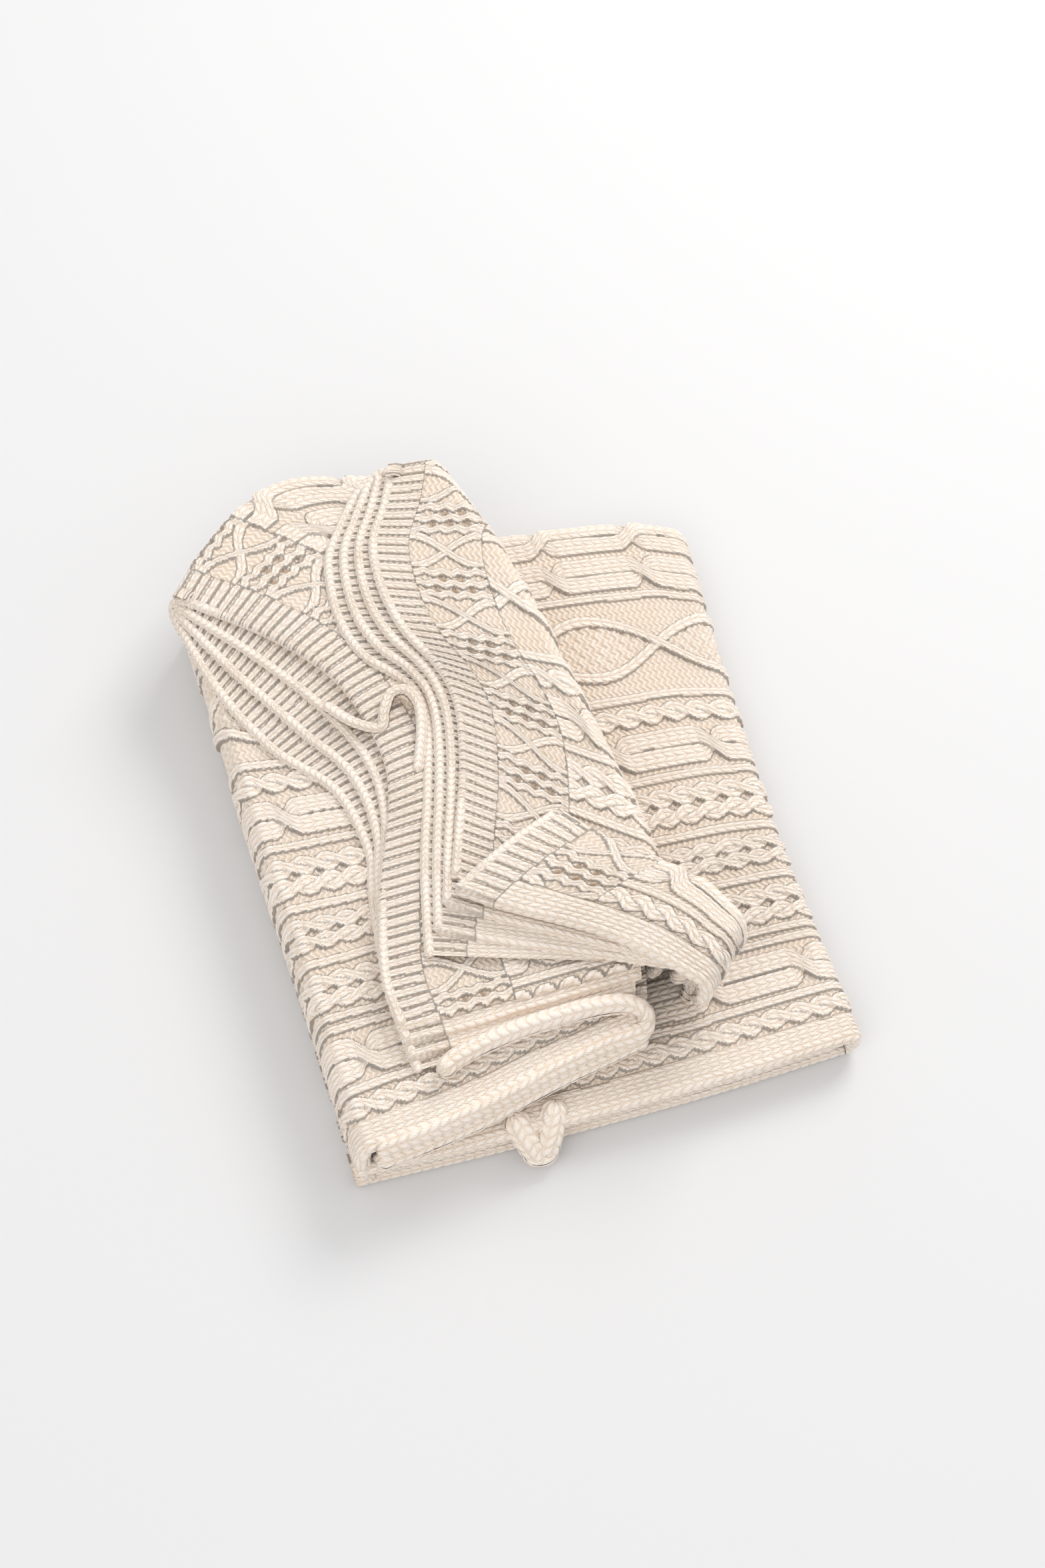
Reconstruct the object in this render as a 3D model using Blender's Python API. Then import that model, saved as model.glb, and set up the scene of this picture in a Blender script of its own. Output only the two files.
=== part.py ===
"""A cable-knit throw, folded into a block with both of its ribbed ends laid back on top.

One knitted panel is quartered across its width, doubled along its length, and that strip of
eight plies is laid in three runs: the base, the leaf that turns back over it at the left fold,
and the ends, which turn back again at the end turns. The two halves of the throw part there
into an inner end, spread to the left, and an outer end on top, with its corner turned up.

Metres, +Z up. X runs along the columns of stitches and Y across them, from the hems to the
turned folds. Edges are written as (u, v): u from the left fold (0) to the right fold (1),
v from the hems (0) to the turned folds (1). Each ply or pair of plies is a plain closed solid.
"""

import bpy
import numpy as np
from mathutils import Vector

# the throw laid flat
THROW_WIDTH = 1.70  # across the columns of stitches, quartered
THROW_LENGTH = 1.30  # along them, doubled
# the folded block
BLOCK_DEPTH = THROW_WIDTH / 4
BLOCK_LENGTH = 0.554 * THROW_LENGTH / 2  # the base run's share of one doubled strip
PLY = 0.0042  # one knitted layer in the pile, with the air round it
CLEARANCE = 0.0003  # between solids that lie on each other
BASE_PAIRS = 4
LEAF_PAIRS = 4
END_PLIES = 4
# borders and folds
RIB_WIDTH = 0.026  # ribbed border along both ends
HEM_RADIUS = 0.0055  # a side hem rolls to about this
BEND_DEPTH = 0.013  # how far a fold of eight plies bulges past the flat of its plies
TUCK_WIDTH = 0.034  # the hem's corner turned out of the base
TUCK_DEPTH = 0.016
TUCK_PLACE = 0.375  # u of its middle
FLAP_THICKNESS = 0.0060
OUTER_SLOPE = 0.03  # how much nearer the outer end's near side lies at its turn than at its rib
STEPS_PER_SPAN = 3  # straight pieces between two control points of an edge
ROUND_STEPS = 9

PILE = 2 * PLY
BASE_TOP = BASE_PAIRS * PILE
LEAF_TOP = BASE_TOP + LEAF_PAIRS * PILE
INNER_TOP = LEAF_TOP + END_PLIES * PLY
OUTER_TOP = INNER_TOP + END_PLIES * PLY

# the block's own edges, hems to turned folds, and its near and far sides, left to right
LEFT_EDGE = [(0.030, 0.01), (0.018, 0.30), (0.000, 0.63), (-0.012, 1.06)]
RIGHT_EDGE = [(1.000, 0.01), (0.992, 0.35), (1.008, 0.63), (1.040, 0.99)]
BASE_NEAR = [(0.075, 0.016), (0.350, 0.012), (0.700, 0.010), (0.955, 0.018)]
BASE_FAR = [(0.030, 1.052), (0.300, 1.060), (0.600, 1.058), (0.790, 1.042), (0.930, 1.020),
            (0.990, 1.000)]
LEAF_NEAR = [(0.075, 0.022), (0.250, 0.045), (0.450, 0.082), (0.625, 0.110)]
# the ends' turns on the right, hems to turned folds
OUTER_TURN = [(0.745, 0.13), (0.728, 0.30), (0.716, 0.46), (0.690, 0.65), (0.656, 0.86), (0.630, 0.98),
              (0.570, 1.15)]
INNER_TURN = [(0.640, 0.10), (0.672, 0.21), (0.668, 0.46), (0.640, 0.65), (0.607, 0.86), (0.580, 0.98),
              (0.520, 1.14)]
# the ribbed edges of the ends, highest and lowest ply of each, hems to turned folds
OUTER_HIGH_RIB = [(0.352, 0.385), (0.388, 0.47), (0.430, 0.57), (0.456, 0.68), (0.444, 0.76), (0.402, 0.84),
                  (0.384, 0.93), (0.394, 1.02), (0.440, 1.09), (0.472, 1.15)]
OUTER_LOW_RIB = [(0.264, 0.275), (0.303, 0.42), (0.361, 0.58), (0.394, 0.69), (0.380, 0.76), (0.315, 0.83),
                 (0.289, 0.91), (0.300, 1.02), (0.340, 1.08), (0.392, 1.14)]
INNER_HIGH_RIB = [(0.180, 0.18), (0.178, 0.27), (0.217, 0.40), (0.261, 0.50), (0.289, 0.57), (0.300, 0.64),
                  (0.283, 0.73), (0.244, 0.82), (0.150, 0.92), (0.000, 1.03)]
INNER_LOW_RIB = [(0.188, 0.11), (0.181, 0.27), (0.200, 0.42), (0.217, 0.50), (0.190, 0.62), (0.100, 0.72),
                 (0.028, 0.85), (-0.016, 1.00)]
SPREAD_FOLD = [(0.058, 1.090), (0.140, 1.150), (0.222, 1.190), (0.300, 1.195), (0.400, 1.172), (0.480, 1.155)]
# the corner turned up on the outer end: its hem from the tip, its rounded end, and its fold
FLAP_HEM = [(0.350, 0.355), (0.460, 0.290), (0.580, 0.225), (0.700, 0.165)]
FLAP_FOLD = [(0.760, 0.185), (0.745, 0.240), (0.655, 0.340), (0.560, 0.435)]


def at(u, v):
    return np.array([(u - 0.5) * BLOCK_LENGTH, (v - 0.5) * BLOCK_DEPTH])


def smooth(controls):
    """Points on a Catmull-Rom curve through the control points, in metres."""
    knots = np.array([at(*c) for c in controls])
    knots = np.vstack([2 * knots[0] - knots[1], knots, 2 * knots[-1] - knots[-2]])
    found = []
    for before, start, end, after in zip(knots, knots[1:], knots[2:], knots[3:]):
        for t in np.arange(STEPS_PER_SPAN) / STEPS_PER_SPAN:
            curved = (end - before) * t + (2 * before - 5 * start + 4 * end - after) * t**2
            found.append(start + (curved + (3 * start - before - 3 * end + after) * t**3) / 2)
    return np.array([*found, knots[-2]])


def sideways(path):
    """At each point of the path, one step to the left of its direction."""
    along = np.gradient(path, axis=0)
    return np.stack([-along[:, 1], along[:, 0]], axis=1) / np.linalg.norm(along, axis=1)[:, None]


def moved(path, left):
    return path + sideways(path) * left


def cut(path, low, high):
    """The stretch of a side between two places across the block, in metres."""
    inside = path[(path[:, 1] > low) & (path[:, 1] < high)]
    ends = [(np.interp(y, path[:, 1], path[:, 0]), y) for y in (low, high)]
    return np.vstack([ends[0], inside, ends[1]])


def past(path, distance):
    """The rest of the path, from a point at this distance from its start."""
    gone = np.linalg.norm(path - path[0], axis=1)
    start = [np.interp(distance, gone, path[:, k]) for k in (0, 1)]
    return np.vstack([[start], path[gone > distance * 1.01]])


def between(first, second, share):
    """The path a share of the way from the first to the second, point by point."""
    steps = np.linspace(0, 1, max(len(first), len(second)))
    both = []
    for path in (first, second):
        own = np.linspace(0, 1, len(path))
        both.append(np.stack([np.interp(steps, own, path[:, k]) for k in (0, 1)], axis=1))
    return (1 - share) * both[0] + share * both[1]


def yarn(name, colour):
    found = bpy.data.materials.new(name)
    found.use_nodes = True
    shader = found.node_tree.nodes["Principled BSDF"]
    shader.inputs["Base Color"].default_value = (*colour, 1)
    shader.inputs["Roughness"].default_value = 0.9
    shader.inputs["Metallic"].default_value = 0
    return found


def add(name, data, material, height=0.0):
    found = bpy.data.objects.new(name, data)
    data.materials.append(material)
    parts.objects.link(found)
    found.parent = frame
    found.location.z = height
    return found


def flat_piece(name, outline, bottom, thickness, material):
    """A flat solid of the outline, from bottom to a clearance below its thickness."""
    curve = bpy.data.curves.new(name, "CURVE")
    curve.dimensions = "2D"
    curve.fill_mode = "BOTH"
    curve.extrude = (thickness - CLEARANCE) / 2
    spline = curve.splines.new("POLY")
    spline.points.add(len(outline) - 1)
    for point, (x, y) in zip(spline.points, outline):
        point.co = (x, y, 0, 1)
    spline.use_cyclic_u = True
    return add(name, curve, material, bottom + curve.extrude)


def roll(name, path, height, material, radius=HEM_RADIUS):
    """A side hem, or the fold down the throw's middle: a round roll along the path."""
    curve = bpy.data.curves.new(name, "CURVE")
    curve.dimensions = "3D"
    curve.bevel_depth = radius
    curve.bevel_resolution = 2
    curve.use_fill_caps = True
    spline = curve.splines.new("POLY")
    spline.points.add(len(path) - 1)
    for point, (x, y) in zip(spline.points, path):
        point.co = (x, y, 0, 1)
    return add(name, curve, material, height)


def fold(name, path, profile):
    """A fold's round back: a profile of (outward, height) points, carried along the path."""
    points = [(*(p + n * out), z) for p, n in zip(path, sideways(path)) for out, z in profile]
    count, rows = len(profile), len(path)
    faces = [tuple(range(count))[::-1], tuple(range((rows - 1) * count, rows * count))]
    for row in range(rows - 1):
        for k in range(count):
            low, high = row * count + k, row * count + (k + 1) % count
            faces.append((low, high, high + count, low + count))
    mesh = bpy.data.meshes.new(name)
    mesh.from_pydata(points, [], faces)
    return add(name, mesh, CABLE_KNIT)


def round_back(bottom, top, start, end):
    """The profile of a round back between two heights, from one angle to another, in turns."""
    middle, radius = (bottom + top) / 2, (top - bottom) / 2
    turns = 2 * np.pi * np.linspace(start, end, ROUND_STEPS)
    return [(BEND_DEPTH * np.cos(t), middle + radius * np.sin(t)) for t in turns]


for old in list(bpy.data.objects):
    bpy.data.objects.remove(old)
parts = bpy.data.collections.new("folded_throw")
bpy.context.scene.collection.children.link(parts)
frame = bpy.data.objects.new("throw_frame", None)
parts.objects.link(frame)

CABLE_KNIT = yarn("cable_knit", (0.80, 0.71, 0.60))
RIB_KNIT = yarn("rib_knit", (0.77, 0.68, 0.56))
HEM_KNIT = yarn("hem_knit", (0.82, 0.74, 0.63))

left_edge, right_edge = smooth(LEFT_EDGE), smooth(RIGHT_EDGE)
outer_turn, inner_turn = smooth(OUTER_TURN), smooth(INNER_TURN)
left_flat = moved(left_edge, -BEND_DEPTH - CLEARANCE)
right_flat = moved(right_edge, BEND_DEPTH + CLEARANCE)


# Base: eight plies in four pairs, with rolled hems along the near side of its highest and
# lowest pairs, and the right fold, where the throw is doubled.
base_hem = smooth(BASE_NEAR)
base_far = smooth(BASE_FAR)[1:-1]
base_near = moved(base_hem, HEM_RADIUS + CLEARANCE)
base_near = base_near[base_near[:, 0] > left_flat[0, 0] + 2 * CLEARANCE]
left = cut(left_flat, base_near[0, 1], base_far[0, 1])
right = cut(right_flat, base_near[-1, 1], base_far[-1, 1])
base_outline = np.vstack([left, base_far, right[::-1], base_near[::-1]])
for pair in range(BASE_PAIRS):
    flat_piece(f"base_plies_{BASE_PAIRS - pair}", base_outline, pair * PILE, PILE, CABLE_KNIT)
roll("base_hem_lower", base_hem[1:-1], HEM_RADIUS, HEM_KNIT)
roll("base_hem_upper", base_hem[1:-1], BASE_TOP - CLEARANCE - HEM_RADIUS, HEM_KNIT)
right_back = cut(moved(right_flat, -CLEARANCE), base_hem[-1, 1], base_far[-1, 1])[::-1]
fold("right_fold", right_back, round_back(0, BASE_TOP - CLEARANCE, -0.25, 0.25))

# A corner of the base's hem, turned out to the front.
tuck_back = base_hem[:, 1].min() - HEM_RADIUS - CLEARANCE
tuck_left = at(TUCK_PLACE, 0)[0] - TUCK_WIDTH / 2
tuck = [(0, 0), (0.35 * TUCK_WIDTH, -TUCK_DEPTH), (0.65 * TUCK_WIDTH, -TUCK_DEPTH), (TUCK_WIDTH, 0)]
flat_piece("hem_tuck", np.array(tuck) + (tuck_left, tuck_back), 0, BASE_TOP, HEM_KNIT)

# Leaf: the same eight plies turned back over the base. The half of the throw that lies
# outside at the end turns runs below, the other half above.
leaf_hem = smooth(LEAF_NEAR)
leaf_near = moved(leaf_hem, HEM_RADIUS + CLEARANCE)
leaf_near = leaf_near[leaf_near[:, 0] > left_flat[0, 0] + 2 * CLEARANCE]
for pair in range(LEAF_PAIRS):
    turn = outer_turn if pair < LEAF_PAIRS / 2 else inner_turn
    left = cut(left_flat, leaf_near[0, 1], base_far[0, 1])
    right = cut(turn, leaf_near[-1, 1], base_far[0, 1])
    outline = np.vstack([left, right[::-1], leaf_near[::-1]])
    flat_piece(f"leaf_plies_{LEAF_PAIRS - pair}", outline, BASE_TOP + pair * PILE, PILE, CABLE_KNIT)
upper_hem_height = LEAF_TOP - CLEARANCE - HEM_RADIUS
hem_drop = ((2 * HEM_RADIUS) ** 2 - HEM_RADIUS**2) ** 0.5
roll("leaf_hem_upper", leaf_hem, upper_hem_height, HEM_KNIT)
roll("leaf_hem_lower", moved(leaf_hem, -HEM_RADIUS), upper_hem_height - hem_drop, HEM_KNIT)


# Left fold: the back that turns from the base up into the leaf, in two halves, one on each.
half_back = round_back(0, LEAF_TOP - CLEARANCE, -0.25, 0.25)
lower_half = [(out, z) for out, z in half_back if z < BASE_TOP - CLEARANCE]
upper_half = [(out, z) for out, z in half_back if z > BASE_TOP]
lower_back = cut(moved(left_flat, CLEARANCE), base_hem[0, 1], base_far[0, 1])
upper_back = cut(moved(left_flat, CLEARANCE), leaf_near[0, 1], base_far[0, 1])
under_gap = BASE_TOP - CLEARANCE
fold("left_fold_lower", lower_back, [*lower_half, (BEND_DEPTH, under_gap), (0.0, under_gap)])
fold("left_fold_upper", upper_back, [(0.0, BASE_TOP), (BEND_DEPTH, BASE_TOP), *upper_half])


def end_plies(name, high_rib, low_rib, turn, bottom, near_slope, far_line):
    """Four plies of an end, lowest first, each with its ribbed border along its edge.
    Returns the near edge of each ply, from the border to the turn."""
    near_edges = []
    for k in range(END_PLIES):
        edge = between(low_rib, high_rib, k / (END_PLIES - 1))
        height, number = bottom + k * PLY, END_PLIES - k
        border = moved(edge, -RIB_WIDTH)
        flat_piece(f"{name}_rib_{number}", np.vstack([edge, border[::-1]]), height, PLY, RIB_KNIT)
        body = moved(edge, -RIB_WIDTH - CLEARANCE)
        side = cut(turn, body[0, 1] - near_slope, turn[-1, 1])
        flat_piece(f"{name}_ply_{number}", np.vstack([body, far_line, side[::-1]]), height, PLY, CABLE_KNIT)
        near_edges.append(np.array([body[0], side[0]]))
    return near_edges


def end_roll(name, near_edge, bottom, material):
    """The round near side of two plies of an end, where they are hemmed or folded into each other."""
    radius = PLY - CLEARANCE
    line = moved(near_edge, -radius - CLEARANCE)
    roll(name, np.linspace(line[0], line[1], ROUND_STEPS), bottom + radius, material, radius)


# Inner end: the lower four plies, spread to the left where they leave the block.
inner_ribs = [smooth(r) for r in (INNER_HIGH_RIB, INNER_LOW_RIB)]
inner_near = end_plies("inner_end", *inner_ribs, inner_turn, LEAF_TOP, 0.0, smooth(SPREAD_FOLD))
end_roll("inner_end_hem", inner_near[0], LEAF_TOP, HEM_KNIT)
end_roll("inner_end_middle_fold", inner_near[2], LEAF_TOP + PILE, CABLE_KNIT)

# Outer end: the upper four plies, their near side turned a little from the block's.
outer_ribs = [smooth(r) for r in (OUTER_HIGH_RIB, OUTER_LOW_RIB)]
outer_near = end_plies("outer_end", *outer_ribs, outer_turn, INNER_TOP, OUTER_SLOPE, np.empty((0, 2)))
end_roll("outer_end_middle_fold", outer_near[0], INNER_TOP, CABLE_KNIT)
end_roll("outer_end_hem", outer_near[2], INNER_TOP + PILE, HEM_KNIT)

# The corner of the outer end, turned up over its highest ply: its ribbed border runs from the
# tip to the fold, and its hem along the near side to the end turn.
flap_hem, flap_fold = smooth(FLAP_HEM), smooth(FLAP_FOLD)
flap_hem, fold_past = past(flap_hem, RIB_WIDTH), past(flap_fold[::-1], RIB_WIDTH)
border = [smooth(FLAP_HEM)[0], flap_hem[0], fold_past[0], flap_fold[-1]]
flat_piece("flap_rib", np.array(border), OUTER_TOP, FLAP_THICKNESS, RIB_KNIT)
flap_hem = past(flap_hem, 2 * HEM_RADIUS)
roll("flap_hem", flap_hem, OUTER_TOP + HEM_RADIUS, HEM_KNIT)
flap_near = moved(flap_hem, HEM_RADIUS + 2 * CLEARANCE)
flap_body = np.vstack([flap_near, past(fold_past, 2 * CLEARANCE)[::-1]])
flat_piece("corner_flap", flap_body, OUTER_TOP, FLAP_THICKNESS, CABLE_KNIT)

# The origin lies under the middle of the whole pile.
bpy.context.view_layer.update()
solids = [o for o in parts.objects if o.type != "EMPTY"]
corners = np.array([o.matrix_world @ Vector(c) for o in solids for c in o.bound_box])
middle = (corners.min(axis=0) + corners.max(axis=0)) / 2
frame.location = (-middle[0], -middle[1], 0)
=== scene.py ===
import math

import bpy
import numpy as np
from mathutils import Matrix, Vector


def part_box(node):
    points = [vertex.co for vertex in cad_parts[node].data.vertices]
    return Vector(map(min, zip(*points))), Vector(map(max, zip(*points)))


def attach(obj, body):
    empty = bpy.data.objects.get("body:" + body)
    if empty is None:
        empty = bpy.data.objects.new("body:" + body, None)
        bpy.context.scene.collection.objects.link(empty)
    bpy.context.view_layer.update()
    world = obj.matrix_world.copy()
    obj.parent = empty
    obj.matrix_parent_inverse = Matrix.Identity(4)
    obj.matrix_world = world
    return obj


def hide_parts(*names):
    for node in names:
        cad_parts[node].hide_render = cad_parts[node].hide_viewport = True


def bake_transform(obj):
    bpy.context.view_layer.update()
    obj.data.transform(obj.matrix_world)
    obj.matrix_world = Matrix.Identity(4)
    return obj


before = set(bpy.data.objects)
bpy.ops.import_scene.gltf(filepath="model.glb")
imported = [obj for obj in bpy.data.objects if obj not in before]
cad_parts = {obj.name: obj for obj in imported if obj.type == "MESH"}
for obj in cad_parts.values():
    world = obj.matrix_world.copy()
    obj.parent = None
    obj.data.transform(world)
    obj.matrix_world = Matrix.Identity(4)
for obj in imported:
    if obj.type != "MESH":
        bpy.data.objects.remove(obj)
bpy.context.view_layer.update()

# ---------------------------------------------------------------------------------------------
# The block's outlines. The throw lies folded as CAD lays it: (u, v) runs from the left fold
# to the right fold and from the hems to the turned folds. Heights come from the CAD solids.
# ---------------------------------------------------------------------------------------------
MM = 0.001
HEM_RADIUS = 5.5 * MM
LEFT_EDGE = [(0.030, 0.01), (0.018, 0.30), (0.000, 0.63), (-0.012, 1.06)]
RIGHT_EDGE = [(1.000, 0.01), (0.992, 0.35), (1.008, 0.63), (1.040, 0.99)]
BASE_NEAR = [(0.030, 0.022), (0.350, 0.012), (0.700, 0.010), (0.985, 0.018)]
BASE_FAR = [(0.000, 1.050), (0.300, 1.060), (0.600, 1.058), (0.790, 1.042), (0.930, 1.020), (1.010, 0.990)]
LEAF_NEAR = [(0.045, 0.022), (0.250, 0.045), (0.450, 0.082), (0.650, 0.112)]
OUTER_TURN = [(0.745, 0.13), (0.728, 0.30), (0.716, 0.46), (0.690, 0.65), (0.656, 0.86), (0.630, 0.98),
              (0.570, 1.15)]
INNER_TURN = [(0.640, 0.10), (0.672, 0.21), (0.668, 0.46), (0.640, 0.65), (0.607, 0.86), (0.580, 0.98),
              (0.520, 1.14)]
OUTER_HIGH_RIB = [(0.352, 0.385), (0.388, 0.47), (0.430, 0.57), (0.456, 0.68), (0.444, 0.76), (0.402, 0.84),
                  (0.384, 0.93), (0.394, 1.02), (0.440, 1.09), (0.472, 1.15)]
OUTER_LOW_RIB = [(0.264, 0.275), (0.303, 0.42), (0.361, 0.58), (0.394, 0.69), (0.380, 0.76), (0.315, 0.83),
                 (0.289, 0.91), (0.300, 1.02), (0.340, 1.08), (0.392, 1.14)]
INNER_HIGH_RIB = [(0.180, 0.18), (0.178, 0.27), (0.217, 0.40), (0.261, 0.50), (0.289, 0.57), (0.300, 0.64),
                  (0.283, 0.73), (0.244, 0.82), (0.150, 0.92), (0.000, 1.03)]
INNER_LOW_RIB = [(0.188, 0.11), (0.181, 0.27), (0.200, 0.42), (0.217, 0.50), (0.190, 0.62), (0.100, 0.72),
                 (0.028, 0.85), (-0.016, 1.00)]
SPREAD_FOLD = [(0.058, 1.090), (0.140, 1.150), (0.222, 1.190), (0.300, 1.195), (0.400, 1.172), (0.480, 1.155)]
# The corner turned up on the outer end: its hem from the tip to its rounded end, and its fold.
FLAP_HEM = [(0.350, 0.355), (0.460, 0.290), (0.580, 0.225), (0.665, 0.160), (0.718, 0.110)]
FLAP_FOLD = [(0.812, 0.190), (0.762, 0.262), (0.655, 0.340), (0.560, 0.435)]

left_box, right_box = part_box("left_fold_lower"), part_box("right_fold")
hem_box, ply_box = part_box("base_hem_upper"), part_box("base_plies_1")
BASE_TOP = ply_box[1][2]
LEAF_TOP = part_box("leaf_plies_1")[1][2]
INNER_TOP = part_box("inner_end_ply_1")[1][2]
OUTER_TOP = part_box("outer_end_ply_1")[1][2]


def at(u, v):
    """The place (x, y) of a point of the outlines."""
    x = left_box[0][0] + (right_box[1][0] - left_box[0][0]) * (u + 0.012) / 1.052
    y = hem_box[0][1] + HEM_RADIUS
    return np.array([x, y + (ply_box[1][1] - y) * (v - 0.010) / 1.050])


def curve(knots, steps=24):
    """Points on a Catmull-Rom curve through the knots."""
    knots = np.vstack([2 * knots[0] - knots[1], knots, 2 * knots[-1] - knots[-2]])
    found = []
    for before, start, end, after in zip(knots, knots[1:], knots[2:], knots[3:]):
        for t in np.arange(steps) / steps:
            curved = (end - before) * t + (2 * before - 5 * start + 4 * end - after) * t**2
            found.append(start + (curved + (3 * start - before - 3 * end + after) * t**3) / 2)
    return np.array([*found, knots[-2]])


def smooth(controls):
    """A curve through control points given as (u, v)."""
    return curve(np.array([at(*c) for c in controls]))


def along(path, shares):
    """The points at these shares of the path's length."""
    gone = np.concatenate([[0], np.cumsum(np.linalg.norm(np.diff(path, axis=0), axis=1))])
    wanted = np.asarray(shares) * gone[-1]
    return np.stack([np.interp(wanted, gone, path[:, k]) for k in range(path.shape[1])], axis=-1)


def length_of(path):
    """The length of a path, in metres."""
    return np.linalg.norm(np.diff(path, axis=0), axis=1).sum()


def between(first, second, share):
    """The path this share of the way from the first to the second."""
    steps = np.linspace(0, 1, 200)
    return (1 - share) * along(first, steps) + share * along(second, steps)


def sideways(path):
    """At each point of a flat path, one step to the left of its direction."""
    way = np.gradient(path, axis=0)
    return np.stack([-way[:, 1], way[:, 0]], axis=1) / np.linalg.norm(way, axis=1)[:, None]


def moved(path, left):
    """A flat path shifted to the left of its direction."""
    return path + sideways(path) * left


def wander(x, y, size, seed):
    """Soft noise from -1 to 1 over x and y, with features of about this size."""
    corners = np.random.default_rng(seed).uniform(-1, 1, (64, 64))
    x, y = np.asarray(x) / size, np.asarray(y) / size
    ix, iy = np.floor(x).astype(int), np.floor(y).astype(int)
    fx, fy = x - ix, y - iy
    fx, fy = fx * fx * (3 - 2 * fx), fy * fy * (3 - 2 * fy)
    low = corners[ix % 64, iy % 64] * (1 - fx) + corners[(ix + 1) % 64, iy % 64] * fx
    high = corners[ix % 64, (iy + 1) % 64] * (1 - fx) + corners[(ix + 1) % 64, (iy + 1) % 64] * fx
    return low * (1 - fy) + high * fy


# ---------------------------------------------------------------------------------------------
# The knitting itself: chunky cotton yarn in cable, horseshoe, lattice and diamond panels
# between plain ribs, with a plain hem on each side and a ribbed border at each end. Lengths
# here are in millimetres: w across the columns of stitches from the hem, c along them, and e
# from the ribbed edge. Each panel is (first w, last w, kind).
# ---------------------------------------------------------------------------------------------
COLUMN = 6.7
COURSE = 7.2
CROSSING = 68.0  # between two crossings of a big cable
TWIST = 17.0  # between two crossings of a small one
DIAMOND = 98.0
RIB_PITCH = 7.4
RIB_DEPTH = 26.0
BORDER_DEPTH = 78.0
MOTIF = 52.0
QUARTER = 425.0
PANELS = [(23, 38, "rope"), (40, 46.5, "rib"), (49, 81, "big"), (85, 91, "rib"), (94, 100, "rib"),
          (103, 131, "horseshoe"), (136, 142.5, "rib"), (149, 174, "lattice"), (179, 186, "rib"),
          (191, 222, "horseshoe"), (228, 234.5, "rib"), (238, 270, "big"), (275, 292, "rope"),
          (296, 303, "rib"), (306, 382, "diamond"), (384, 390.5, "rib"), (393, 423, "big")]


def loops(a, b):
    """Plain stitches, a V each, with the right side up: columns at whole a, courses along b."""
    x = np.abs(a - np.round(a))
    p = b - 1.15 * x
    p = np.abs(2 * (p - np.floor(p)) - 1)
    leg = np.sqrt(np.clip(np.cos(2 * np.pi * (x - 0.25)), 0, 1))
    return leg * (0.30 + 0.70 * np.sqrt(np.clip(1 - p**2.4, 0, 1)))


def purls(a, b):
    """The same stitches from their wrong side: wavy bars across the columns."""
    return 0.5 + 0.5 * np.cos(2 * np.pi * (b + 0.27 * np.cos(2 * np.pi * a)))


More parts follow.
